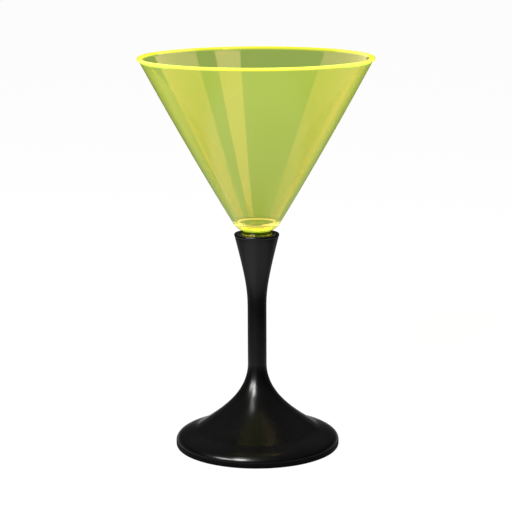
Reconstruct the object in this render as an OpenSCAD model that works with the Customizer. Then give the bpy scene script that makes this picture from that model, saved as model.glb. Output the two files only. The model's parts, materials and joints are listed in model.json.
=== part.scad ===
// Light-up martini glass: tinted plastic bowl that screws into a hollow black
// stem and bell foot, with button cells, a switch board and three lamps inside.
// Millimetres, +Z up. The origin is the centre of the standing face.

/* [Bowl] */
// Overall height, standing face to rim
total_h = 192.8; // [191:0.1:196]
// Outer radius of the rim
rim_r = 57; // [55:0.1:58]
// How much the outer wall widens per millimetre of height
bowl_slope = 0.5625; // [0.55:0.0025:0.575]
// Bowl wall thickness, measured square to the wall
bowl_wall = 1.6; // [1.3:0.1:2]
// Height of the drinking floor inside the bowl
floor_z = 112.4; // [111.8:0.1:114]
// Height of the bowl's underside around the neck
bowl_bottom_z = 108.9; // [108.7:0.1:109.3]
// How far the middle of the bowl's wall bows outward
bowl_bow = 0.65; // [0:0.05:0.8]
// Radius of the bowl's bare neck
neck_r = 7; // [6.9:0.05:7.1]

/* [Stem and foot] */
// Outer radius of the foot
foot_r = 40.4; // [39:0.1:42]
// Shell wall thickness
shell_wall = 2; // [1.8:0.05:2]
// Outer radius of the stem at its thinnest
stem_r = 4.65; // [4.6:0.05:5]
// Height of the collar's flat top
collar_z = 107; // [106.8:0.1:107.2]
// Outer radius of the collar at the top of the stem
collar_r = 11.1; // [11:0.05:11.3]

/* [Screw joint] */
// Rise of the thread in one turn
pitch = 3; // [3:0.1:3.2]
// Radius of the plug below the thread ridges
plug_r = 6.35; // [6.3:0.05:6.4]
// Radius over the plug's thread ridge
plug_crest_r = 7.1; // [7:0.05:7.15]
// Radius of the socket's plain wall
socket_r = 7.4; // [7.35:0.05:7.5]
// Radius inside the socket's thread ridge
socket_crest_r = 6.6; // [6.6:0.05:6.7]

/* [Base] */
// Height that the cover is set in above the standing face
cover_in = 1; // [0.8:0.1:1.2]
// Radius of the push button
button_r = 4.5; // [4:0.1:4.6]
// Pitch radius of the three cover screws
cover_screw_r = 26; // [25:0.5:27]

/* [Power] */
// Diameter of a button cell
cell_d = 11.6; // [11.6:0.1:11.6]
// Thickness of a button cell
cell_t = 5.4; // [5.4:0.1:5.4]
// Distance of the cell row behind the centre
cell_y = 13; // [13:0.1:13.2]
// Number of lamps
lamp_count = 3; // [2:1:3]
// Circle that the lamps stand on
lamp_ring_r = 3; // [2.8:0.1:3.2]

/* [Hidden] */
$fn = 96;

cover_t = 2;
cover_top = cover_in + cover_t;
board_z = 8;               // underside of the control board
board_t = 1.2;
led_board_z = 91.4;        // ledge that the lamp board rests on
window_z = 97;             // ledge that the light window rests on
window_t = 1.6;
plug_z = 98.8;             // end face of the bowl's plug
seal_z = collar_z - 1.6;   // ledge that the seal ring rests on
thread_z0 = 99.9;          // first thread section, at angle 0
thread_turns = 1.4;
cell_z = cover_top + 0.2 + cell_d / 2;
trough_x = 9.9;
cell_x0 = -6.75;

// ---- curves ----
function bez(a, b, c, d, n) = [for (i = [0 : n]) let (t = i / n, s = 1 - t)
    s*s*s*a + 3*s*s*t*b + 3*s*t*t*c + t*t*t*d];
function inward(p, w) = [for (i = [0 : len(p) - 1])
    let (a = p[max(i - 1, 0)], b = p[min(i + 1, len(p) - 1)], d = (b - a) / norm(b - a))
    p[i] + w * [-d[1], d[0]]];
function part_of(p, i0, i1) = [for (i = [i0 : i1]) p[i]];
function arc(c, r, a0, a1, n) = [for (i = [0 : n]) let (a = a0 + (a1 - a0) * i / n)
    c + r * [cos(a), sin(a)]];

// Foot: upright skirt, round shoulder, then a long sweep up into the stem
shoulder = bez([foot_r, 2.6], [foot_r, 7.1], [32.5, 7.4], [30, 9.2], 10);
sweep = bez([30, 9.2], [20.2, 16.1], [stem_r, 25.6], [stem_r, 41.6], 18);
foot_curve = concat(shoulder, part_of(sweep, 1, 18));
foot_inner = inward(foot_curve, shell_wall);
bore_r = stem_r - shell_wall;
// Flare: slim stem opening into the collar
flare = bez([stem_r, 70], [stem_r, 78.5], [5.6, 85], [collar_r - 0.33, 105.4], 14);

// ---- bowl ----
function cone_r(z) = let (u = (z - 112) / (total_h - 113.8))
    rim_r - 1.14 - bowl_slope * (total_h - 1.8 - z) + 4 * bowl_bow * u * (1 - u);
wall_r = bowl_wall * sqrt(1 + bowl_slope * bowl_slope);
lip = 0.8;

module thread_ridge(r_in, r_out, w_in, w_out, z0, turns, seg) {
    n = floor(turns * seg);
    pts = [for (i = [0 : n]) let (a = 360 * i / seg, z = z0 + pitch * i / seg)
        each [[r_in * cos(a), r_in * sin(a), z - w_in / 2],
              [r_out * cos(a), r_out * sin(a), z - w_out / 2],
              [r_out * cos(a), r_out * sin(a), z + w_out / 2],
              [r_in * cos(a), r_in * sin(a), z + w_in / 2]]];
    sides = [for (i = [0 : n - 1], k = [0 : 3]) let (a = 4*i + k, b = 4*i + (k + 1) % 4)
        each [[a, a + 4, b + 4], [a, b + 4, b]]];
    polyhedron(points = pts, faces = concat([[0, 1, 2, 3]], sides, [[4*n + 3, 4*n + 2, 4*n + 1, 4*n]]));
}

module bowl() {
    z1 = 112;
    z2 = total_h - 2 * lip;
    out_low = bez([8, bowl_bottom_z], [8.4, bowl_bottom_z], [cone_r(z1 - 1.6), z1 - 1.6], [cone_r(z1), z1], 6);
    out_wall = [for (i = [1 : 7]) let (z = z1 + (z2 - z1) * i / 7) [cone_r(z), z]];
    zi = floor_z + 1.9;
    ri = cone_r(zi) - wall_r;
    rf = cone_r(floor_z) - wall_r;
    in_wall = [for (i = [0 : 7]) let (z = z2 + (zi - z2) * i / 7) [cone_r(z) - wall_r, z]];
    in_low = bez([ri, zi], [ri - 0.8, zi - 1.4], [rf - 0.9, floor_z], [rf - 2.4, floor_z - 0.05], 6);
    color([0.86, 0.93, 0.12, 0.55]) union() {
        rotate_extrude() polygon(concat(
            [[0, plug_z], [plug_r - 0.5, plug_z], [plug_r, plug_z + 0.5], [plug_r, seal_z - 0.5],
             [neck_r, seal_z + 0.15], [neck_r, bowl_bottom_z - 0.6], [neck_r + 0.2, bowl_bottom_z - 0.15],
             [neck_r + 0.6, bowl_bottom_z]],
            out_low, out_wall,
            arc([rim_r - lip, total_h - lip], lip, -40, 160, 10),
            in_wall, part_of(in_low, 1, 6), [[3, floor_z - 0.25], [0, floor_z - 0.3]]));
        thread_ridge(plug_r - 0.2, plug_crest_r, 1.5, 0.8, thread_z0, thread_turns, 24);
    }
}

module neck_seal_ring() {
    color([0.16, 0.18, 0.1]) rotate_extrude() polygon([
        [7.4, seal_z], [8.0, seal_z], [8.2, seal_z + 0.2], [8.2, seal_z + 1.2], [8.0, seal_z + 1.4],
        [7.5, seal_z + 1.4], [7.25, seal_z + 1.15], [7.25, seal_z + 0.25]]);
}

// ---- stem and foot ----
module outer_form() {
    rotate_extrude() polygon(concat(
        [[0, 0], [foot_r - 0.8, 0], [foot_r - 0.25, 0.45], [foot_r, 1.2]],
        foot_curve, flare,
        [[collar_r, collar_z - 0.75], [collar_r - 0.1, collar_z - 0.35], [collar_r - 0.45, collar_z],
         [0, collar_z]]));
}
module inner_form() {
    rotate_extrude() polygon(concat(
        [[0, -1], [foot_r - shell_wall, -1], [foot_r - shell_wall, 2.5]],
        part_of(foot_inner, 1, len(foot_inner) - 2),
        [[bore_r, 42], [bore_r, 86.5], [4.8, led_board_z], [5.75, led_board_z], [5.75, window_z],
         [6.75, window_z], [6.75, plug_z], [socket_r, plug_z], [socket_r, seal_z], [8.5, seal_z],
         [8.5, collar_z + 1], [0, collar_z + 1]]));
}
module cover_bosses() {
    for (a = [90, 210, 330]) rotate(a) translate([cover_screw_r, 0, cover_top]) cylinder(r = 3.2, h = 20, $fn = 48);
}
module stem_and_foot() {
    color([0.07, 0.07, 0.075]) union() {
        difference() {
            outer_form();
            difference() { inner_form(); cover_bosses(); }
            for (a = [90, 210, 330]) rotate(a) translate([cover_screw_r, 0, cover_top - 1]) cylinder(r = 1.3, h = 5.6, $fn = 32);
        }
        rotate(180) thread_ridge(socket_r + 0.2, socket_crest_r, 1.5, 0.8, thread_z0, thread_turns, 24);
    }
}

// ---- lamp chamber ----
module light_window() {
    color([0.9, 0.93, 0.9, 0.4]) rotate_extrude() polygon([[0, window_z], [6.5, window_z], [6.7, window_z + 0.2],
        [6.7, window_z + window_t - 0.2], [6.5, window_z + window_t], [0, window_z + window_t]]);
}
module led_board() {
    color([0.1, 0.38, 0.2]) difference() {
        translate([0, 0, led_board_z]) cylinder(r = 5.6, h = 1, $fn = 64);
        translate([5.2, -1, led_board_z - 1]) cube([2, 2, 3]);
    }
}
module leds() {
    color([0.9, 0.95, 0.9]) for (i = [0 : lamp_count - 1]) rotate(90 + i * 360 / lamp_count)
        translate([lamp_ring_r, 0, led_board_z + 1]) rotate_extrude($fn = 40) polygon(concat(
            [[0, 0], [1.85, 0], [1.85, 0.9], [1.5, 1]], arc([0, 2.55], 1.5, 0, 90, 6)));
}
module led_wire(s) {
    translate([s * 0.95, 0, board_z + board_t]) cylinder(r = 0.6, h = led_board_z - board_z - board_t, $fn = 24);
}
module wire_led_positive() { color([0.75, 0.08, 0.08]) led_wire(1); }
module wire_led_negative() { color([0.06, 0.06, 0.06]) led_wire(-1); }

// ---- control board ----
module control_board() {
    color([0.1, 0.38, 0.2]) difference() {
        union() {
            translate([-11, -14, board_z]) cube([22, 18.5, board_t]);
            translate([-9, -16, board_z]) cube([18, 3, board_t]);
        }
        for (s = [-1, 1]) translate([s * 8, -13, board_z - 1]) cylinder(r = 1.15, h = 4, $fn = 32);
    }
}
module control_chip() {
    color([0.09, 0.09, 0.1]) translate([0, -8.5, board_z + board_t]) {
        translate([-2.5, -2, 0.15]) cube([5, 4, 1.4]);
        for (x = [-1.9, -0.65, 0.6, 1.85], s = [-1, 1]) translate([x - 0.2, s > 0 ? 1.9 : -3, 0]) cube([0.4, 1.1, 0.3]);
    }
}
module resistors() {
    color([0.12, 0.12, 0.13]) for (x = [-6, 5.2]) translate([x, -4, board_z + board_t]) {
        cube([2, 1.25, 0.5]);
        if (x > 0) translate([0, 2.4, 0]) cube([2, 1.25, 0.5]);
    }
}
module switch_housing() {
    color([0.12, 0.12, 0.13]) difference() {
        translate([-3, -3, 5.1]) cube([6, 6, board_z - 5.1]);
        translate([0, 0, 4]) cylinder(r = 1.95, h = 2.1, $fn = 48);
    }
}
module switch_plunger() {
    color([0.75, 0.72, 0.66]) translate([0, 0, 4.6]) cylinder(r = 1.75, h = 0.7, $fn = 48);
}
module push_button() {
    z0 = cover_in - 0.4;
    color([0.12, 0.12, 0.13]) rotate_extrude() polygon([
        [0, z0 + 0.15], [button_r - 1.2, z0], [button_r - 0.3, z0], [button_r, z0 + 0.3],
        [button_r, cover_top], [button_r + 1.1, cover_top], [button_r + 1.1, cover_top + 0.8],
        [1.8, cover_top + 0.8], [1.8, 4.6], [0, 4.6]]);
}
module board_screws() {
    color([0.7, 0.7, 0.7]) for (s = [-1, 1]) translate([s * 8, -13, board_z + board_t]) difference() {
        union() {
            cylinder(r1 = 2, r2 = 1.6, h = 1.2, $fn = 40);
            translate([0, 0, -5.2]) cylinder(r = 0.95, h = 5.3, $fn = 32);
        }
        translate([-1.2, -0.2, 0.7]) cube([2.4, 0.4, 1]);
        translate([-0.2, -1.2, 0.7]) cube([0.4, 2.4, 1]);
    }
}

// ---- base ----
door_x = [-11.7, 18.7];
door_y = [cell_y - 7.3, cell_y + 7.3];
module base_cover() {
    color([0.08, 0.08, 0.085]) difference() {
        union() {
            rotate_extrude($fn = 128) polygon([[0, cover_in], [foot_r - shell_wall - 0.7, cover_in],
                [foot_r - shell_wall - 0.4, cover_in + 0.3], [foot_r - shell_wall - 0.4, cover_top - 0.2], [36.6, cover_top],
                [36.6, cover_top + 0.9], [35.6, cover_top + 0.9], [35.6, cover_top], [0, cover_top]]);
            // cell trough
            translate([-trough_x - 1.1, cell_y - 7.2, cover_top - 0.5]) cube([2 * trough_x + 2.2, 14.4, 6.5]);
            // door screw boss
            translate([15, cell_y, cover_top - 0.5]) cylinder(r = 2.6, h = 5.5, $fn = 48);
            // board posts
            for (s = [-1, 1]) {
                translate([s * 8, -13, cover_top - 0.5]) cylinder(r = 2.2, h = board_z - cover_top + 0.5, $fn = 40);
                translate([s * 8.5, 2, cover_top - 0.5]) cylinder(r = 1.8, h = board_z - cover_top + 0.5, $fn = 40);
            }
        }
        // cell space, open below
        translate([-trough_x, cell_y - 6.1, cover_top]) cube([2 * trough_x, 12.2, 20]);
        translate([-9.5, cell_y - 6.1, 0]) cube([19, 12.2, 20]);
        // door recess and tab pocket
        translate([door_x[0] - 0.2, door_y[0] - 0.2, cover_in - 1]) cube([door_x[1] - door_x[0] + 0.4, door_y[1] - door_y[0] + 0.4, 2.1]);
        translate([-13.7, cell_y - 3.1, cover_in + 0.5]) cube([3, 6.2, 0.6]);
        // screw holes
        translate([15, cell_y, 0]) cylinder(r = 0.85, h = 7.4, $fn = 32);
        for (s = [-1, 1]) translate([s * 8, -13, 3.6]) cylinder(r = 1, h = 10, $fn = 32);
        for (a = [90, 210, 330]) rotate(a) translate([cover_screw_r, 0, 0]) {
            cylinder(r = 1.5, h = 6, $fn = 32);
            cylinder(r = 2.7, h = cover_in + 1.2, $fn = 48);
        }
        // button hole
        cylinder(r = button_r + 0.25, h = 6, $fn = 64);
    }
}
module battery_door() {
    color([0.08, 0.08, 0.085]) difference() {
        union() {
            translate([door_x[0], door_y[0], cover_in]) cube([door_x[1] - door_x[0], door_y[1] - door_y[0], 1.05]);
            translate([-13.4, cell_y - 2.8, cover_in + 0.55]) cube([2.5, 5.6, 0.5]);
        }
        translate([15, cell_y, 0]) cylinder(r = 1.1, h = 4, $fn = 32);
        translate([15, cell_y, 0]) cylinder(r = 2.3, h = cover_in + 0.65, $fn = 48);
        // finger grooves
        for (x = [-8, -5, -2]) translate([x, cell_y - 5, cover_in - 0.2]) cube([1, 10, 0.45]);
    }
}
module cross_screw(head_r, head_h, shank_r, len, tip) {
    difference() {
        union() {
            cylinder(r1 = head_r - 0.3, r2 = head_r, h = 0.3, $fn = 48);
            translate([0, 0, 0.3]) cylinder(r = head_r, h = head_h - 0.3, $fn = 48);
            cylinder(r = shank_r, h = len - tip, $fn = 32);
            translate([0, 0, len - tip]) cylinder(r1 = shank_r, r2 = 0.3, h = tip, $fn = 32);
        }
        translate([-head_r * 0.6, -0.25, -1]) cube([head_r * 1.2, 0.5, 1.5]);
        translate([-0.25, -head_r * 0.6, -1]) cube([0.5, head_r * 1.2, 1.5]);
    }
}
module door_screw() {
    color([0.7, 0.7, 0.7]) translate([15, cell_y, cover_in + 0.05]) cross_screw(2.1, 0.6, 0.8, 5.8, 0.8);
}
module cover_screws() {
    color([0.7, 0.7, 0.7]) for (a = [90, 210, 330]) rotate(a)
        translate([cover_screw_r, 0, cover_in + 0.1]) rotate(a) cross_screw(2.5, 1.1, 1.25, 6, 1);
}

// ---- cells and contacts ----
module battery_cells() {
    color([0.75, 0.76, 0.77]) for (i = [0 : 2]) translate([cell_x0 + i * cell_t, cell_y, cell_z]) rotate([0, 90, 0])
        rotate_extrude() polygon([[0, 0], [4.6, 0], [4.6, 0.45], [5.2, 0.45], [cell_d / 2 - 0.3, 0.5], [cell_d / 2, 0.8],
            [cell_d / 2, cell_t - 0.35], [cell_d / 2 - 0.3, cell_t - 0.05], [0, cell_t - 0.05]]);
}
module contact_plate(x) {
    translate([x, cell_y - 5, cover_top + 0.1]) cube([0.35, 10, 8.6]);
    translate([x, cell_y - 5, cover_top + 8]) cube([0.35, 2, 2.4]);
}
module negative_contact() { color([0.78, 0.78, 0.76]) contact_plate(-9.85); }
module negative_spring() {
    n = 44; seg = 14;
    function c(i) = let (t = i / n, r = 4.2 - 2.2 * t, a = 360 * i / seg)
        [-9.22 + 2.1 * t, cell_y + r * cos(a), cell_z + r * sin(a)];
    color([0.8, 0.8, 0.78]) sweep_tube([for (i = [0 : n]) c(i)], 0.25, 6);
}
module positive_contact() { color([0.78, 0.78, 0.76]) contact_plate(9.5); }

// Round wire along a list of points
function unit(v) = v / norm(v);
module sweep_tube(p, r, sides) {
    n = len(p) - 1;
    up = [1, 0.02, 0.03];
    pts = [for (i = [0 : n])
        let (d = unit(p[min(i + 1, n)] - p[max(i - 1, 0)]), u = unit(cross(d, up)), v = cross(d, u))
        for (k = [0 : sides - 1]) let (a = 360 * k / sides) p[i] + r * (cos(a) * u + sin(a) * v)];
    polyhedron(points = pts, faces = concat(
        [[for (k = [sides - 1 : -1 : 0]) k]],
        [for (i = [0 : n - 1], k = [0 : sides - 1]) let (a = i * sides + k, b = i * sides + (k + 1) % sides)
            each [[a, b, b + sides], [a, b + sides, a + sides]]],
        [[for (k = [0 : sides - 1]) n * sides + k]]));
}
lead_top = cover_top + 10.4;
module battery_lead_negative() {
    color([0.06, 0.06, 0.06]) sweep_tube(bez([-9.67, cell_y - 4, lead_top], [-9.67, cell_y - 4, lead_top + 3],
        [-7.5, 2.5, 14.5], [-7.5, 2.5, board_z + board_t], 14), 0.5, 8);
}
module battery_lead_positive() {
    color([0.75, 0.08, 0.08]) sweep_tube(bez([9.67, cell_y - 4, lead_top], [9.67, cell_y - 4, lead_top + 3],
        [7.5, 2.5, 14.5], [7.5, 2.5, board_z + board_t], 14), 0.5, 8);
}

bowl();
stem_and_foot();
neck_seal_ring();
light_window();
led_board();
leds();
wire_led_positive();
wire_led_negative();
control_board();
control_chip();
resistors();
switch_housing();
switch_plunger();
push_button();
base_cover();
battery_cells();
negative_contact();
negative_spring();
positive_contact();
battery_lead_negative();
battery_lead_positive();
battery_door();
door_screw();
cover_screws();
board_screws();
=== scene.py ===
import json
import math

import bmesh
import bpy
from mathutils import Matrix, Vector

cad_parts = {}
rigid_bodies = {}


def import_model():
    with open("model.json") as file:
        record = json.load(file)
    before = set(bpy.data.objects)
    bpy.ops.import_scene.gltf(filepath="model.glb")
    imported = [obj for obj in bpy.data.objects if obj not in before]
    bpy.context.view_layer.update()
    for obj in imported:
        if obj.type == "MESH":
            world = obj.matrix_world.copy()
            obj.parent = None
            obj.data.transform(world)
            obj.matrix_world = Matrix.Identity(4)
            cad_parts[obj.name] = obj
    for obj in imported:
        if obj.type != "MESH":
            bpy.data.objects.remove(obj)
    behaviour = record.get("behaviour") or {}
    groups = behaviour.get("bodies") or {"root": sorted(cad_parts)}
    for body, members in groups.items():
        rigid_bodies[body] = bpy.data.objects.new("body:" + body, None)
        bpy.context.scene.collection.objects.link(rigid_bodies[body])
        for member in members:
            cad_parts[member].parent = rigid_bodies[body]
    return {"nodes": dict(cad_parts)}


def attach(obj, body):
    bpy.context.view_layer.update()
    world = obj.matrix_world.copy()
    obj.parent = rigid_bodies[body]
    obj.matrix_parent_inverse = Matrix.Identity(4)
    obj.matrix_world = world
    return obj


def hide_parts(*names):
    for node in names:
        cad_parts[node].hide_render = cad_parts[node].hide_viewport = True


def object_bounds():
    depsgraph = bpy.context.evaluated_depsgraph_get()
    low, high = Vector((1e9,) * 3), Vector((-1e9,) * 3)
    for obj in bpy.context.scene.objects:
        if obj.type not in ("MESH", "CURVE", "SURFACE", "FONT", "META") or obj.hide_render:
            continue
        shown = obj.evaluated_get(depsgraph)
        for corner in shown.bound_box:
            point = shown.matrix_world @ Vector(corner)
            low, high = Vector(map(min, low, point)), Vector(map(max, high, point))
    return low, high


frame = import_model()
cad_lo, cad_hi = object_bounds()
NODES = frame["nodes"]
MM = 0.001

# ------------------------------------------------------------------ sizes (mm), as in the CAD model
TOTAL_H = cad_hi[2] / MM
RIM_R = 57.0
SLOPE = 0.5625
BOW = 0.65
WALL = 1.6
FLOOR_Z = 112.4
BOTTOM_Z = 108.9
NECK_R = 7.0
LIP = 0.8
FOOT_R = 40.4
SHELL = 2.0
STEM_R = 4.65
COLLAR_Z = 107.0
COLLAR_R = 11.1
PITCH = 3.0
PLUG_R, PLUG_CREST = 6.35, 7.1
SOCK_R, SOCK_CREST = 7.4, 6.6
PLUG_Z = 98.8
SEAL_Z = COLLAR_Z - 1.6
THREAD_Z0, THREAD_TURNS = 99.9, 1.4
LED_Z = 91.4
WINDOW_Z = 97.0


# ------------------------------------------------------------------ small geometry helpers
def bez(a, b, c, d, n):
    out = []
    for i in range(n + 1):
        t = i / n
        s = 1 - t
        out.append(tuple(s**3 * p + 3 * s * s * t * q + 3 * s * t * t * r + t**3 * w for p, q, r, w in zip(a, b, c, d)))
    return out


def arc(cr, cz, r, a0, a1, n):
    return [(cr + r * math.cos(math.radians(a0 + (a1 - a0) * i / n)), cz + r * math.sin(math.radians(a0 + (a1 - a0) * i / n))) for i in range(n + 1)]


def fillet(pts, radii, n=5):
    """Rounds the corners of an open outline; radii is one number or a dict index -> radius."""
    out = [pts[0]]
    for i in range(1, len(pts) - 1):
        r = radii.get(i, 0) if isinstance(radii, dict) else radii
        p0, p, p1 = Vector(pts[i - 1]), Vector(pts[i]), Vector(pts[i + 1])
        if r <= 0:
            out.append(tuple(p))
            continue
        u, v = (p0 - p), (p1 - p)
        lu, lv = u.length, v.length
        u.normalize(); v.normalize()
        half = math.acos(max(-1, min(1, u.dot(v)))) / 2
        if half > math.radians(89):
            out.append(tuple(p))
            continue
        t = min(r / math.tan(half), lu * 0.45, lv * 0.45)
        a, b = p + u * t, p + v * t
        for k in range(n + 1):
            s = k / n
            q = a * (1 - s) ** 2 + p * 2 * s * (1 - s) + b * s * s
            out.append(tuple(q))
    out.append(pts[-1])
    return out


def support(pts, gap=0.06, longest=0.6):
    """Adds points just inside the ends of long straight stretches, so that smooth shading stays flat there."""
    out = [pts[0]]
    for a, b in zip(pts[:-1], pts[1:]):
        d = math.dist(a, b)
        if d > longest:
            for s in (gap / d, 0.5, 1 - gap / d):
                out.append((a[0] + (b[0] - a[0]) * s, a[1] + (b[1] - a[1]) * s))
        out.append(b)
    return out


def inward(p, w):
    out = []
    for i in range(len(p)):
        a, b = p[max(i - 1, 0)], p[min(i + 1, len(p) - 1)]
        d = math.dist(a, b)
        out.append((p[i][0] - w * (b[1] - a[1]) / d, p[i][1] + w * (b[0] - a[0]) / d))
    return out


def new_object(name, bm, smooth=True):
    me = bpy.data.meshes.new(name)
    bmesh.ops.recalc_face_normals(bm, faces=bm.faces[:])
    bm.to_mesh(me)
    bm.free()
    ob = bpy.data.objects.new(name, me)
    bpy.context.scene.collection.objects.link(ob)
    if smooth:
        for f in me.polygons:
            f.use_smooth = True
    return ob


def lathe_into(bm, prof, seg=192, closed=False, centre=(0, 0, 0), ridge=None, axis="z"):
    """Turns an outline of (r, z) in mm. ridge(r, z, angle) may change a point's radius."""
    rings = []
    for r, z in prof:
        if abs(r) < 1e-6:
            rings.append([None, bm.verts.new(place(0, 0, z, centre, axis))])
            continue
        ring = []
        for k in range(seg):
            a = 2 * math.pi * k / seg
            rr = ridge(r, z, a) if ridge else r
            ring.append(bm.verts.new(place(rr * math.cos(a), rr * math.sin(a), z, centre, axis)))
        rings.append(ring)
    pairs = list(zip(rings[:-1], rings[1:])) + ([(rings[-1], rings[0])] if closed else [])
    for lo, hi in pairs:
        for k in range(seg):
            j = (k + 1) % seg
            if lo[0] is None and hi[0] is None:
                continue
            if lo[0] is None:
                bm.faces.new((lo[1], hi[j], hi[k]))
            elif hi[0] is None:
                bm.faces.new((lo[k], lo[j], hi[1]))
            else:
                bm.faces.new((lo[k], lo[j], hi[j], hi[k]))


def place(x, y, z, c, axis):
    if axis == "x":
        return ((c[0] + z) * MM, (c[1] + x) * MM, (c[2] + y) * MM)
    return ((c[0] + x) * MM, (c[1] + y) * MM, (c[2] + z) * MM)


def lathe(name, prof, **kw):
    bm = bmesh.new()
    lathe_into(bm, prof, **kw)
    return new_object(name, bm)


def smoothstep(x):
    x = max(0.0, min(1.0, x))
    return x * x * (3 - 2 * x)


def thread(base_r, crest_r, turn0=0.0, lo=None, hi=None):
    """Radius change for one round-edged screw ridge on a cylinder of radius base_r."""
    rise = crest_r - base_r

    def f(r, z, a):
        if abs(r - base_r) > 0.05 or z < lo or z > hi:
            return r
        t = (a / (2 * math.pi) - turn0) % 1.0
        best = 0.0
        for k in range(0, 3):
            s = t + k
            if s > THREAD_TURNS + 0.02:
                break
            d = abs(z - (THREAD_Z0 + PITCH * s))
            h = smoothstep((0.70 - d) / 0.34)
            ends = smoothstep((s + 0.02) / 0.06) * smoothstep((THREAD_TURNS + 0.02 - s) / 0.06)
            best = max(best, h * ends)
        return r + rise * best

    return f


def cyl_rows(r, z0, z1, step):
    n = max(2, int(abs(z1 - z0) / step))
    return [(r, z0 + (z1 - z0) * i / n) for i in range(n + 1)]


# ------------------------------------------------------------------ materials
def mat(name):
    m = bpy.data.materials.new(name)
    m.use_nodes = True
    nt = m.node_tree
    nt.nodes.clear()
    out = nt.nodes.new("ShaderNodeOutputMaterial")
    bsdf = nt.nodes.new("ShaderNodeBsdfPrincipled")
    nt.links.new(bsdf.outputs[0], out.inputs["Surface"])
    return m, nt, bsdf, out


def node(nt, kind, **kw):
    n = nt.nodes.new("ShaderNode" + kind)
    for k, v in kw.items():
        if k in n.inputs:
            n.inputs[k].default_value = v
        else:
            setattr(n, k, v)
    return n


def math_node(nt, op, a, b=None, c=None, clamp=False):
    n = nt.nodes.new("ShaderNodeMath")
    n.operation = op
    n.use_clamp = clamp
    for i, v in enumerate((a, b, c)):
        if v is None:
            continue
        if isinstance(v, (int, float)):
            n.inputs[i].default_value = v
        else:
            nt.links.new(v, n.inputs[i])
    return n.outputs[0]


def ramp(nt, fac, stops, interp="LINEAR"):
    n = nt.nodes.new("ShaderNodeValToRGB")
    cr = n.color_ramp
    cr.interpolation = interp
    while len(cr.elements) < len(stops):
        cr.elements.new(0.5)
    for e, (p, c) in zip(cr.elements, stops):
        e.position = p
        e.color = c if len(c) == 4 else (*c, 1)
    nt.links.new(fac, n.inputs[0])
    return n.outputs[0]


def noise(nt, coord, scale, detail=2.0, rough=0.5, distortion=0.0):
    n = node(nt, "TexNoise", Scale=scale, Detail=detail, Roughness=rough, Distortion=distortion)
    nt.links.new(coord, n.inputs["Vector"])
    return n.outputs["Fac"]


def map_range(nt, v, a, b, c, d, kind="LINEAR"):
    n = nt.nodes.new("ShaderNodeMapRange")
    n.interpolation_type = kind
    nt.links.new(v, n.inputs[0])
    for i, x in enumerate((a, b, c, d)):
        n.inputs[i + 1].default_value = x
    return n.outputs[0]


def bump(nt, height, strength, distance, normal=None):
    n = nt.nodes.new("ShaderNodeBump")
    n.inputs["Strength"].default_value = strength
    n.inputs["Distance"].default_value = distance
    nt.links.new(height, n.inputs["Height"])
    if normal is not None:
        nt.links.new(normal, n.inputs["Normal"])
    return n.outputs[0]


def mix_colour(nt, fac, a, b):
    n = nt.nodes.new("ShaderNodeMix")
    n.data_type = "RGBA"
    nt.links.new(fac, n.inputs["Factor"]) if not isinstance(fac, (int, float)) else setattr(n.inputs["Factor"], "default_value", fac)
    for key, v in (("A", a), ("B", b)):
        sock = [s for s in n.inputs if s.name == key and s.type == "RGBA"][0]
        if isinstance(v, tuple):
            sock.default_value = v if len(v) == 4 else (*v, 1)
        else:
            nt.links.new(v, sock)
    return [s for s in n.outputs if s.type == "RGBA"][0]


def plastic(name, dark, light, rough, grain_scale=4200, grain=0.12, grain_dist=2e-5, spec=0.5, mottle=60, rough_var=0.05, scuffs=0.0, coat=0.0):
    """Moulded plastic: fine grain, slight mottling in colour and gloss, and faint scuffs."""
    m, nt, b, out = mat(name)
    co = nt.nodes.new("ShaderNodeTexCoord").outputs["Object"]
    big = noise(nt, co, mottle, 3, 0.55)
    fine = noise(nt, co, grain_scale, 2, 0.6)
    nt.links.new(mix_colour(nt, map_range(nt, big, 0.35, 0.65, 0, 1), dark, light), b.inputs["Base Color"])
    r = map_range(nt, big, 0.3, 0.7, rough - rough_var, rough + rough_var)
    r = math_node(nt, "ADD", r, map_range(nt, fine, 0.3, 0.7, -0.03, 0.03))
    if scuffs:
        mp = nt.nodes.new("ShaderNodeMapping")
        mp.inputs["Scale"].default_value = (900, 60, 300)
        mp.inputs["Rotation"].default_value = (0.3, 0.2, 0.7)
        nt.links.new(co, mp.inputs["Vector"])
        sc = noise(nt, mp.outputs[0], 1.0, 4, 0.7)
        r = math_node(nt, "ADD", r, map_range(nt, sc, 0.62, 0.75, 0, scuffs))
    nt.links.new(r, b.inputs["Roughness"])
    nt.links.new(bump(nt, fine, grain, grain_dist), b.inputs["Normal"])
    b.inputs["Specular IOR Level"].default_value = spec
    b.inputs["Coat Weight"].default_value = coat
    return m


def metal(name, colour, rough, aniso_scale=(3000, 200, 200), streak=0.08):
    m, nt, b, out = mat(name)
    co = nt.nodes.new("ShaderNodeTexCoord").outputs["Object"]
    mp = nt.nodes.new("ShaderNodeMapping")
    mp.inputs["Scale"].default_value = aniso_scale
    nt.links.new(co, mp.inputs["Vector"])
    st = noise(nt, mp.outputs[0], 1.0, 3, 0.6)
    big = noise(nt, co, 250, 2, 0.5)
    dark = tuple(c * 0.86 for c in colour)
    nt.links.new(mix_colour(nt, map_range(nt, big, 0.3, 0.7, 0, 1), dark, colour), b.inputs["Base Color"])
    nt.links.new(map_range(nt, st, 0.25, 0.75, rough - streak, rough + streak), b.inputs["Roughness"])
    b.inputs["Metallic"].default_value = 1.0
    nt.links.new(bump(nt, st, 0.15, 5e-6), b.inputs["Normal"])
    return m


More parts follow.
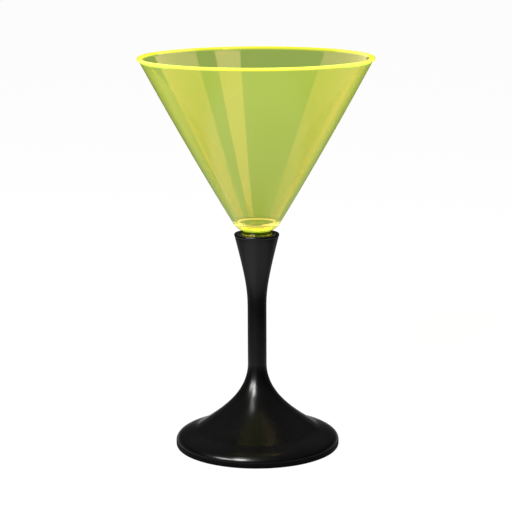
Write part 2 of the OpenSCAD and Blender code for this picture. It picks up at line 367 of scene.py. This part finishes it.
def pcb(name):
    m, nt, b, out = mat(name)
    co = nt.nodes.new("ShaderNodeTexCoord").outputs["Object"]
    br = node(nt, "TexBrick", Scale=420.0)
    br.inputs["Mortar Size"].default_value = 0.03
    nt.links.new(co, br.inputs["Vector"])
    tr = map_range(nt, br.outputs["Fac"], 0.0, 1.0, 0.0, 1.0)
    n1 = noise(nt, co, 900, 2, 0.5)
    base = mix_colour(nt, map_range(nt, n1, 0.3, 0.7, 0, 1), (0.012, 0.11, 0.035), (0.018, 0.15, 0.05))
    nt.links.new(mix_colour(nt, tr, base, (0.035, 0.24, 0.09)), b.inputs["Base Color"])
    nt.links.new(map_range(nt, n1, 0.3, 0.7, 0.28, 0.42), b.inputs["Roughness"])
    nt.links.new(bump(nt, tr, 0.3, 2e-5), b.inputs["Normal"])
    return m


def neon_bowl():
    """See-through fluorescent styrene: it passes warm yellow. The green that its dye gives back is painted in as glow,
    and more painted glow is put where the wall turns: along the rim, and in the corner under the floor."""
    m, nt, b, out = mat("neon_styrene")
    tc = nt.nodes.new("ShaderNodeTexCoord")
    co = tc.outputs["Object"]
    sep = nt.nodes.new("ShaderNodeSeparateXYZ")
    nt.links.new(co, sep.inputs[0])
    z = sep.outputs["Z"]
    rad = nt.nodes.new("ShaderNodeVectorMath")
    rad.operation = "LENGTH"
    flat = nt.nodes.new("ShaderNodeCombineXYZ")
    nt.links.new(sep.outputs["X"], flat.inputs[0])
    nt.links.new(sep.outputs["Y"], flat.inputs[1])
    nt.links.new(flat.outputs[0], rad.inputs[0])
    r = rad.outputs["Value"]
    b.inputs["Transmission Weight"].default_value = 1.0
    b.inputs["IOR"].default_value = 1.55
    cloud = noise(nt, co, 38, 2, 0.5)
    tint = mix_colour(nt, map_range(nt, cloud, 0.35, 0.65, 0, 1), (0.88, 0.64, 0.28), (0.90, 0.66, 0.30))
    # a long way through the wall, at the sides and in the neck, takes out more light
    lw = node(nt, "LayerWeight", Blend=0.5)
    edge = map_range(nt, lw.outputs["Facing"], 0.72, 0.98, 0, 1, "SMOOTHSTEP")
    tint = mix_colour(nt, edge, tint, (0.58, 0.38, 0.10))
    neck = map_range(nt, z, 0.1089, 0.1100, 1, 0, "SMOOTHSTEP")
    tint = mix_colour(nt, neck, tint, (0.52, 0.56, 0.03))
    nt.links.new(tint, b.inputs["Base Color"])
    fine = noise(nt, co, 700, 2, 0.5)
    nt.links.new(map_range(nt, fine, 0.3, 0.7, 0.0, 0.012), b.inputs["Roughness"])
    rip = noise(nt, co, 40, 1, 0.4)
    nt.links.new(bump(nt, rip, 0.02, 1.5e-4), b.inputs["Normal"])
    # mask for the band of painted glow along the rim
    rim = map_range(nt, z, (TOTAL_H - 1.55) * MM, (TOTAL_H - 1.15) * MM, 0, 1, "SMOOTHSTEP")
    # mask for the painted glow in the corner under the floor, clear of the neck
    low = map_range(nt, z, 0.1122, 0.1142, 1, 0, "SMOOTHSTEP")
    wide = map_range(nt, r, 0.0075, 0.0085, 0, 1, "SMOOTHSTEP")
    low = math_node(nt, "MULTIPLY", low, wide)
    # painted glow: its strength grows with height, so the painted glow is weaker lower down
    painted_glow_strength = map_range(nt, z, 0.118, 0.186, 0.76, 1.0)
    # painted glow colour over the wall: green, turning orange at the grazing sides
    body = mix_colour(nt, edge, (0.103, 0.180, 0.034), (0.138, 0.064, 0.002))
    # painted glow in the corner: less of it at the sides, where the eye looks through the corner several times
    painted_glow_frontal = map_range(nt, lw.outputs["Facing"], 0.25, 0.85, 1, 0, "SMOOTHSTEP")
    body = mix_colour(nt, low, body, mix_colour(nt, painted_glow_frontal, (0.040, 0.037, 0.004), (0.024, 0.025, 0.002)))
    # two painted bright rings of glow, where the outer wall turns into the underside
    for centre, side, front in ((0.1122, (0.10, 0.09, 0.018), (0.06, 0.06, 0.012)), (0.1101, (0.05, 0.045, 0.007), (0.03, 0.03, 0.005))):
        d = math_node(nt, "ABSOLUTE", math_node(nt, "SUBTRACT", z, centre))
        painted_ring_mask = math_node(nt, "MULTIPLY", map_range(nt, d, 0.0002, 0.0006, 1, 0, "SMOOTHSTEP"), wide)
        body = mix_colour(nt, painted_ring_mask, body, mix_colour(nt, painted_glow_frontal, side, front))
    # and one painted bright ring round the edge of the drinking floor
    d = math_node(nt, "ABSOLUTE", math_node(nt, "SUBTRACT", z, 0.1127))
    inner = map_range(nt, r, 0.0100, 0.0106, 1, 0, "SMOOTHSTEP")
    painted_ring_mask = math_node(nt, "MULTIPLY", math_node(nt, "MULTIPLY", map_range(nt, d, 0.0001, 0.0004, 1, 0, "SMOOTHSTEP"), wide), inner)
    body = mix_colour(nt, painted_ring_mask, body, (1.05, 1.0, 0.36))
    # painted rim glow
    body = mix_colour(nt, rim, body, (0.46, 0.50, 0.012))
    # the painted glow is kept almost nil in the neck
    body = mix_colour(nt, neck, body, (0.010, 0.020, 0.0))
    # all of this painted glow goes into the emission
    nt.links.new(body, b.inputs["Emission Color"])
    nt.links.new(painted_glow_strength, b.inputs["Emission Strength"])
    # the tinted shadow that a see-through bowl drops
    tr = nt.nodes.new("ShaderNodeBsdfTransparent")
    tr.inputs[0].default_value = (0.82, 0.84, 0.45, 1)
    lp = nt.nodes.new("ShaderNodeLightPath")
    mx = nt.nodes.new("ShaderNodeMixShader")
    nt.links.new(lp.outputs["Is Shadow Ray"], mx.inputs[0])
    nt.links.new(b.outputs[0], mx.inputs[1])
    nt.links.new(tr.outputs[0], mx.inputs[2])
    nt.links.new(mx.outputs[0], out.inputs["Surface"])
    return m


def clear(name, colour, rough=0.03, ior=1.49, glow=None):
    m, nt, b, out = mat(name)
    co = nt.nodes.new("ShaderNodeTexCoord").outputs["Object"]
    n1 = noise(nt, co, 1500, 2, 0.5)
    nt.links.new(mix_colour(nt, map_range(nt, n1, 0.3, 0.7, 0, 1), colour, tuple(c * 0.95 for c in colour)), b.inputs["Base Color"])
    nt.links.new(map_range(nt, n1, 0.3, 0.7, max(0, rough - 0.02), rough + 0.02), b.inputs["Roughness"])
    b.inputs["Transmission Weight"].default_value = 1.0
    b.inputs["IOR"].default_value = ior
    if glow:
        b.inputs["Emission Color"].default_value = (*glow, 1)
        b.inputs["Emission Strength"].default_value = 1.0
    return m


M_BOWL = neon_bowl()
M_BLACK = plastic("satin_black", (0.0012, 0.0012, 0.00125), (0.0018, 0.0018, 0.00185), 0.24, grain_scale=2100, grain=0.34, grain_dist=2.5e-5, scuffs=0.03)
M_COVER = plastic("textured_black", (0.013, 0.013, 0.0135), (0.019, 0.019, 0.0195), 0.52, grain_scale=2400, grain=0.5, grain_dist=6e-5, scuffs=0.06)
M_BUTTON = plastic("button_black", (0.022, 0.022, 0.024), (0.03, 0.03, 0.033), 0.42, grain_scale=3000, grain=0.2, scuffs=0.08)
M_SEAL = plastic("dark_silicone", (0.03, 0.034, 0.02), (0.045, 0.05, 0.03), 0.5, grain_scale=2500, grain=0.2, spec=0.4)
M_WINDOW = clear("clear_window", (0.93, 0.96, 0.93))
M_LAMP = clear("lamp_epoxy", (0.93, 0.97, 0.95), ior=1.55)
M_RED = plastic("red_wire", (0.42, 0.015, 0.012), (0.52, 0.025, 0.02), 0.36, grain_scale=1800, grain=0.15)
M_WIRE_BLACK = plastic("black_wire", (0.012, 0.012, 0.012), (0.02, 0.02, 0.02), 0.38, grain_scale=1800, grain=0.15)
M_CHIP = plastic("chip_epoxy", (0.012, 0.012, 0.013), (0.02, 0.02, 0.021), 0.55, grain_scale=5000, grain=0.4)
M_PLUNGER = plastic("beige_plunger", (0.42, 0.36, 0.28), (0.5, 0.44, 0.35), 0.45, grain_scale=3000, grain=0.1)
M_CELL = metal("cell_nickel", (0.72, 0.71, 0.70), 0.26)
M_CONTACT = metal("contact_nickel", (0.70, 0.68, 0.63), 0.3)
M_SCREW = metal("screw_zinc", (0.58, 0.59, 0.61), 0.32)
M_PCB = pcb("green_mask")


def paint(ob, m):
    ob.data.materials.clear()
    ob.data.materials.append(m)


def carried(name, m, bevel=0.0):
    ob = NODES[name]
    for s in ob.material_slots:
        s.material = m
    if not ob.material_slots:
        ob.data.materials.append(m)
    if bevel:
        b = ob.modifiers.new("edge_round", "BEVEL")
        b.width = bevel * MM
        b.segments = 2
        b.limit_method = "ANGLE"
        b.angle_limit = math.radians(50)
        b.harden_normals = False
    return ob


# ------------------------------------------------------------------ bowl
def cone_r(z):
    u = (z - 112) / (TOTAL_H - 113.8)
    return RIM_R - 1.14 - SLOPE * (TOTAL_H - 1.8 - z) + 4 * BOW * u * (1 - u)


WALL_R = WALL * math.sqrt(1 + SLOPE * SLOPE)


def bowl_profile():
    z1, z2 = 112.0, TOTAL_H - 2 * LIP
    p = [(0, PLUG_Z), (2.5, PLUG_Z), (PLUG_R - 0.6, PLUG_Z), (PLUG_R - 0.45, PLUG_Z + 0.03)]
    p += bez((PLUG_R - 0.45, PLUG_Z + 0.03), (PLUG_R - 0.15, PLUG_Z + 0.08), (PLUG_R, PLUG_Z + 0.2), (PLUG_R, PLUG_Z + 0.5), 4)[1:]
    p += cyl_rows(PLUG_R, PLUG_Z + 0.5, SEAL_Z - 0.5, 0.13)[1:]
    p += bez((PLUG_R, SEAL_Z - 0.5), (PLUG_R, SEAL_Z - 0.1), (NECK_R, SEAL_Z - 0.3), (NECK_R, SEAL_Z + 0.2), 6)[1:]
    p += [(NECK_R, SEAL_Z + 1.2), (NECK_R, BOTTOM_Z - 0.75)]
    p += bez((NECK_R, BOTTOM_Z - 0.7), (NECK_R, BOTTOM_Z - 0.2), (NECK_R + 0.3, BOTTOM_Z), (8.0, BOTTOM_Z), 6)[1:]
    p += bez((8.0, BOTTOM_Z), (8.4, BOTTOM_Z), (cone_r(z1 - 1.6), z1 - 1.6), (cone_r(z1), z1), 12)[1:]
    n = 22
    p += [(cone_r(z1 + (z2 - z1) * i / n), z1 + (z2 - z1) * i / n) for i in range(1, n)]
    p += [(cone_r(z2 - d), z2 - d) for d in (0.3, 0.1, 0)]
    p += arc(RIM_R - LIP, TOTAL_H - LIP, LIP, -40, 160, 14)
    zi = FLOOR_Z + 1.9
    ri, rf = cone_r(zi) - WALL_R, cone_r(FLOOR_Z) - WALL_R
    p += [(cone_r(z2 - d) - WALL_R, z2 - d) for d in (0, 0.1, 0.3)]
    p += [(cone_r(z2 + (zi - z2) * i / n) - WALL_R, z2 + (zi - z2) * i / n) for i in range(1, n + 1)]
    p += bez((ri, zi), (ri - 0.8, zi - 1.4), (rf - 0.9, FLOOR_Z), (rf - 2.4, FLOOR_Z - 0.05), 12)[1:]
    p += [(5.5, FLOOR_Z - 0.15), (3, FLOOR_Z - 0.25), (1.2, FLOOR_Z - 0.29), (0, FLOOR_Z - 0.3)]
    return p


bowl = lathe("bowl_shell", bowl_profile(), seg=224, ridge=thread(PLUG_R, PLUG_CREST, 0.0, PLUG_Z + 0.5, SEAL_Z - 0.5))
paint(bowl, M_BOWL)
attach(bowl, "bowl")
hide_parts("bowl")


# ------------------------------------------------------------------ stem and foot
def stem_profile():
    shoulder = bez((FOOT_R, 2.6), (FOOT_R, 7.1), (32.5, 7.4), (30, 9.2), 16)
    sweep = bez((30, 9.2), (20.2, 16.1), (STEM_R, 25.6), (STEM_R, 41.6), 30)
    curve = shoulder + sweep[1:]
    flare = bez((STEM_R, 70), (STEM_R, 78.5), (5.6, 85), (COLLAR_R - 0.33, 105.4), 26)
    inner = inward(curve, SHELL)
    bore = STEM_R - SHELL
    p = [(FOOT_R - SHELL + 0.25, 0.0), (FOOT_R - 1.1, 0.0)]
    p += bez((FOOT_R - 0.95, 0), (FOOT_R - 0.4, 0), (FOOT_R, 0.45), (FOOT_R, 1.3), 6)
    p += curve
    p += [(STEM_R, 50), (STEM_R, 60)]
    p += flare
    p += bez((COLLAR_R - 0.31, 105.5), (COLLAR_R + 0.12, COLLAR_Z - 0.75), (COLLAR_R - 0.02, COLLAR_Z - 0.05), (COLLAR_R - 0.95, COLLAR_Z - 0.02), 8)
    p += [(COLLAR_R - 1.3, COLLAR_Z - 0.06), (8.9, COLLAR_Z - 0.14)]
    p += bez((8.75, COLLAR_Z - 0.16), (8.6, COLLAR_Z - 0.17), (8.5, COLLAR_Z - 0.25), (8.5, COLLAR_Z - 0.42), 3)
    p += [(8.5, SEAL_Z + 0.1), (8.5, SEAL_Z), (8.4, SEAL_Z), (SOCK_R + 0.15, SEAL_Z), (SOCK_R, SEAL_Z - 0.15)]
    p += cyl_rows(SOCK_R, SEAL_Z - 0.3, PLUG_Z + 0.3, 0.13)
    p += [(SOCK_R, PLUG_Z), (6.75, PLUG_Z), (6.75, WINDOW_Z), (5.75, WINDOW_Z), (5.75, LED_Z), (4.8, LED_Z), (bore, 86.5), (bore, 42)]
    p += list(reversed(inner[1:-1]))
    p += [(FOOT_R - SHELL, 2.5), (FOOT_R - SHELL, 0.3)]
    return p


bm = bmesh.new()
lathe_into(bm, stem_profile(), seg=208, closed=True, ridge=thread(SOCK_R, SOCK_CREST, 0.5, PLUG_Z + 0.35, SEAL_Z - 0.35))
for a in (90, 210, 330):
    c = (26 * math.cos(math.radians(a)), 26 * math.sin(math.radians(a)), 0)
    lathe_into(bm, [(1.3, 3.0), (3.0, 3.0), (3.2, 3.2), (3.2, 9.0), (2.6, 9.6), (1.3, 9.6)], seg=32, closed=True, centre=c)
stem = new_object("stem_and_foot_shell", bm)
paint(stem, M_BLACK)
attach(stem, "stem")
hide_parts("stem_and_foot")

# ------------------------------------------------------------------ seal ring
ring = lathe("seal_ring", bez((7.3, SEAL_Z + 0.1), (7.7, SEAL_Z - 0.03), (8.0, SEAL_Z - 0.03), (8.15, SEAL_Z + 0.25), 5)
             + bez((8.2, SEAL_Z + 0.4), (8.25, SEAL_Z + 1.0), (8.1, SEAL_Z + 1.38), (7.8, SEAL_Z + 1.4), 5)
             + bez((7.65, SEAL_Z + 1.4), (7.35, SEAL_Z + 1.38), (7.22, SEAL_Z + 1.0), (7.25, SEAL_Z + 0.4), 5), seg=160, closed=True)
paint(ring, M_SEAL)
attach(ring, "seal")
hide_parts("neck_seal_ring")

# ------------------------------------------------------------------ lamps: epoxy body, lead frame and legs
bm = bmesh.new()
bm2 = bmesh.new()
for i in range(3):
    a = math.radians(90 + i * 120)
    c = (3.0 * math.cos(a), 3.0 * math.sin(a), LED_Z + 1)
    lathe_into(bm, [(0, 0.02), (1.75, 0.02), (1.85, 0.12), (1.85, 0.8), (1.75, 0.92), (1.55, 0.98), (1.5, 1.1)] + arc(0, 2.55, 1.5, 0, 84, 9) + [(0, 4.05)], seg=40, centre=c)
    for dx, h in ((-0.45, 2.1), (0.5, 1.9)):
        cc = (c[0] + dx, c[1], c[2])
        top = [(0, 0.1), (0.2, 0.1), (0.2, h - 0.6), (0.42 if dx < 0 else 0.25, h - 0.3), (0.42 if dx < 0 else 0.25, h), (0.25 if dx < 0 else 0.1, h - (0.18 if dx < 0 else 0)), (0, h - (0.18 if dx < 0 else 0))]
        lathe_into(bm2, top, seg=20, centre=cc)
lamps = new_object("lamp_bodies", bm)
paint(lamps, M_LAMP)
frames = new_object("lamp_lead_frames", bm2)
paint(frames, M_CONTACT)
for o in (lamps, frames):
    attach(o, "stem")
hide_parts("leds")

# ------------------------------------------------------------------ push button: dished cap on a flange
btn = lathe("button_cap", support([(0, 0.95), (1.5, 0.92), (2.8, 0.82), (3.3, 0.66), (3.55, 0.61), (3.9, 0.61), (4.2, 0.66), (4.42, 0.8), (4.5, 1.05), (4.5, 3.0), (5.6, 3.0), (5.6, 3.8), (1.8, 3.8), (1.8, 4.6), (0, 4.6)]), seg=128)
paint(btn, M_BUTTON)
btn.data.set_sharp_from_angle(angle=math.radians(55))
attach(btn, "button")
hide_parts("push_button")

# ------------------------------------------------------------------ carried-over CAD nodes
carried("light_window", M_WINDOW)
carried("led_board", M_PCB)
carried("wire_led_positive", M_RED)
carried("wire_led_negative", M_WIRE_BLACK)
carried("control_board", M_PCB)
carried("control_chip", M_CHIP, 0.08)
carried("resistors", M_CHIP, 0.08)
carried("switch_housing", M_CHIP, 0.12)
carried("switch_plunger", M_PLUNGER, 0.12)
carried("base_cover", M_COVER, 0.12)
carried("battery_cells", M_CELL)
carried("negative_contact", M_CONTACT)
carried("negative_spring", M_CONTACT)
carried("positive_contact", M_CONTACT)
carried("battery_lead_negative", M_WIRE_BLACK)
carried("battery_lead_positive", M_RED)
carried("battery_door", M_COVER, 0.15)
carried("door_screw", M_SCREW, 0.06)
carried("cover_screws", M_SCREW, 0.08)
carried("board_screws", M_SCREW, 0.06)

# ------------------------------------------------------------------ stage: floor, light and camera
BACKDROP = 0.10  # how bright the studio behind the bowl is, as seen through it


def emission(nt, v):
    e = nt.nodes.new("ShaderNodeEmission")
    e.inputs[0].default_value = (v, v, v, 1)
    e.inputs[1].default_value = 1.0
    return e.outputs[0]


def diffuse(nt, v):
    d = nt.nodes.new("ShaderNodeBsdfDiffuse")
    d.inputs[0].default_value = (v, v, v, 1)
    return d.outputs[0]


def mix_shader(nt, fac, a, b):
    n = nt.nodes.new("ShaderNodeMixShader")
    nt.links.new(fac, n.inputs[0])
    nt.links.new(a, n.inputs[1])
    nt.links.new(b, n.inputs[2])
    return n.outputs[0]


fm = bpy.data.meshes.new("floor")
fm.from_pydata([(-4, -4, 0), (4, -4, 0), (4, 6, 0), (-4, 6, 0)], [], [(0, 1, 2, 3)])
floor = bpy.data.objects.new("floor", fm)
bpy.context.scene.collection.objects.link(floor)
m = bpy.data.materials.new("pale_floor")
m.use_nodes = True
nt = m.node_tree
nt.nodes.clear()
out = nt.nodes.new("ShaderNodeOutputMaterial")
lp = nt.nodes.new("ShaderNodeLightPath")
geo = nt.nodes.new("ShaderNodeNewGeometry")
add = nt.nodes.new("ShaderNodeAddShader")
nt.links.new(emission(nt, 0.965), add.inputs[0])
nt.links.new(diffuse(nt, 0.10), add.inputs[1])
# as mirrored in the glass: painted light on the table top near the glass, stronger to the left, and behind it, dark in
# front
sep = nt.nodes.new("ShaderNodeSeparateXYZ")
nt.links.new(geo.outputs["Position"], sep.inputs[0])
ln = nt.nodes.new("ShaderNodeVectorMath")
ln.operation = "LENGTH"
nt.links.new(geo.outputs["Position"], ln.inputs[0])
near = map_range(nt, ln.outputs["Value"], 0.14, 0.19, 0.48, 0.0, "SMOOTHSTEP")
near = math_node(nt, "MULTIPLY", near, map_range(nt, sep.outputs["X"], -0.06, 0.03, 1.5, 1.0, "SMOOTHSTEP"))
# painted shadow on the table right round the foot, seen in its reflections
near = math_node(nt, "MULTIPLY", near, map_range(nt, ln.outputs["Value"], 0.050, 0.085, 0.06, 1.0, "SMOOTHSTEP"))
back = map_range(nt, sep.outputs["Y"], -0.06, 0.12, 0.0, 0.15, "SMOOTHSTEP")
back = math_node(nt, "MULTIPLY", back, map_range(nt, ln.outputs["Value"], 0.30, 0.45, 1, 0, "SMOOTHSTEP"))
glow = math_node(nt, "ADD", math_node(nt, "MAXIMUM", near, back), 0.015)
top = nt.nodes.new("ShaderNodeEmission")
nt.links.new(glow, top.inputs[0])
dim = nt.nodes.new("ShaderNodeAddShader")
nt.links.new(top.outputs[0], dim.inputs[0])
nt.links.new(diffuse(nt, 0.03), dim.inputs[1])
sh = mix_shader(nt, lp.outputs["Is Transmission Ray"], dim.outputs[0], emission(nt, BACKDROP))
sh = mix_shader(nt, lp.outputs["Is Camera Ray"], sh, add.outputs[0])
tp = nt.nodes.new("ShaderNodeBsdfTransparent")
sh = mix_shader(nt, math_node(nt, "MAXIMUM", geo.outputs["Backfacing"], lp.outputs["Is Shadow Ray"]), sh, tp.outputs[0])
nt.links.new(sh, out.inputs["Surface"])
fm.materials.append(m)

world = bpy.data.worlds.new("studio")
bpy.context.scene.world = world
world.use_nodes = True
nt = world.node_tree
nt.nodes.clear()
wo = nt.nodes.new("ShaderNodeOutputWorld")
lp = nt.nodes.new("ShaderNodeLightPath")


def background(v):
    n = nt.nodes.new("ShaderNodeBackground")
    if isinstance(v, float):
        n.inputs[0].default_value = (v, v, v, 1)
    else:
        nt.links.new(v, n.inputs[0])
    return n.outputs[0]


# a dark room with a dim ceiling, and lighter walls beside and behind the glass
tc = nt.nodes.new("ShaderNodeTexCoord")
sep = nt.nodes.new("ShaderNodeSeparateXYZ")
nt.links.new(tc.outputs["Generated"], sep.inputs[0])
ceiling = map_range(nt, sep.outputs["Z"], 0.15, 0.65, 0.0, 0.085, "SMOOTHSTEP")
walls = map_range(nt, sep.outputs["Y"], -0.75, 0.45, 0.0, 0.06, "SMOOTHSTEP")
walls = math_node(nt, "MULTIPLY", walls, map_range(nt, sep.outputs["Z"], 0.10, 0.32, 1.0, 0.0, "SMOOTHSTEP"))
room = math_node(nt, "ADD", math_node(nt, "ADD", ceiling, walls), 0.012)
sh = mix_shader(nt, lp.outputs["Is Transmission Ray"], background(room), background(BACKDROP))
sh = mix_shader(nt, lp.outputs["Is Camera Ray"], sh, background(1.0))
nt.links.new(sh, wo.inputs[0])

# the warm side panels only light the bowl, and the white key lights are flagged off it
lit = bpy.data.collections.new("lit_by_panels")
lit.objects.link(bowl)
keyed = bpy.data.collections.new("lit_by_key")
for o in bpy.context.scene.objects:
    if o.type == "MESH" and o != bowl:
        keyed.objects.link(o)


def softbox(name, azimuth, elevation, half_w, half_h, radiance, colour=(1, 1, 1), dist=1.1, target=(0, 0, 0.11)):
    """A softbox given by where it is seen from the target: azimuth from the camera side, positive to the camera's right."""
    a, e = math.radians(azimuth), math.radians(elevation)
    d = Vector((math.sin(a) * math.cos(e), -math.cos(a) * math.cos(e), math.sin(e)))
    L = bpy.data.lights.new(name, "AREA")
    L.shape = "RECTANGLE"
    L.size, L.size_y = 2 * dist * math.tan(math.radians(half_w)), 2 * dist * math.tan(math.radians(half_h))
    L.energy = radiance * math.pi * L.size * L.size_y
    L.color = colour
    o = bpy.data.objects.new(name, L)
    o.location = Vector(target) + d * dist
    o.rotation_euler = d.to_track_quat("Z", "Y").to_euler()
    bpy.context.scene.collection.objects.link(o)
    return o


WARM = (1.0, 0.71, 0.46)
for key in (softbox("key_left", -50, 29, 9, 6, 20, (1.0, 0.99, 0.97), target=(0, 0, 0.03)),
            softbox("key_front", -27, 37, 7, 12, 24, (1.0, 0.99, 0.97), target=(0, 0, 0.03)),
            softbox("key_top", -38, 61, 5, 10, 4.5, (1.0, 0.99, 0.97), target=(0, 0, 0.03))):
    key.light_linking.receiver_collection = keyed
for panel in (softbox("panel_right_front", 40, 55, 10.5, 17, 2.7, WARM, target=(0, 0, 0.15)),
              softbox("panel_right_back", 113, 33, 24, 24, 1.95, WARM, target=(0, 0, 0.15)),
              softbox("panel_left_back", -124, 24, 38, 21, 1.7, WARM, target=(0, 0, 0.15))):
    panel.light_linking.receiver_collection = lit
# the bowl's painted glow stays off the black plastic too
bowl.light_linking.receiver_collection = lit
# a lamp under the table shows the underside when the glass is seen from below
below = bpy.data.collections.new("lit_from_below")
for o in [btn] + [NODES[n] for n in ("base_cover", "battery_door", "door_screw", "cover_screws")]:
    below.objects.link(o)
for lamp in (softbox("underside_left", -50, -50, 16, 16, 14, target=(0, 0, 0)), softbox("underside_right", 60, -38, 14, 14, 9, target=(0, 0, 0))):
    lamp.light_linking.receiver_collection = below

cam_data = bpy.data.cameras.new("camera")
cam_data.sensor_width = 36.0
cam_data.lens = 1782.9 / 512 * 36.0
cam = bpy.data.objects.new("camera", cam_data)
cam.location = (-0.39 * MM, -0.85269, 0.27057)
pitch, roll = math.radians(11.6006), math.radians(0.24)
cam.matrix_world = Matrix.Translation(cam.location) @ Matrix.Rotation(math.radians(90) - pitch, 4, "X") @ Matrix.Rotation(-roll, 4, "Z")
bpy.context.scene.collection.objects.link(cam)
bpy.context.scene.camera = cam
cam_data.clip_start, cam_data.clip_end = 0.01, 50

bpy.context.scene.view_settings.view_transform = "Standard"
bpy.context.scene.view_settings.look = "None"
bpy.context.scene.cycles.max_bounces = 24
bpy.context.scene.cycles.transmission_bounces = 20
bpy.context.scene.cycles.transparent_max_bounces = 16
bpy.context.scene.cycles.glossy_bounces = 8
bpy.context.scene.cycles.caustics_refractive = False
bpy.context.scene.cycles.caustics_reflective = False
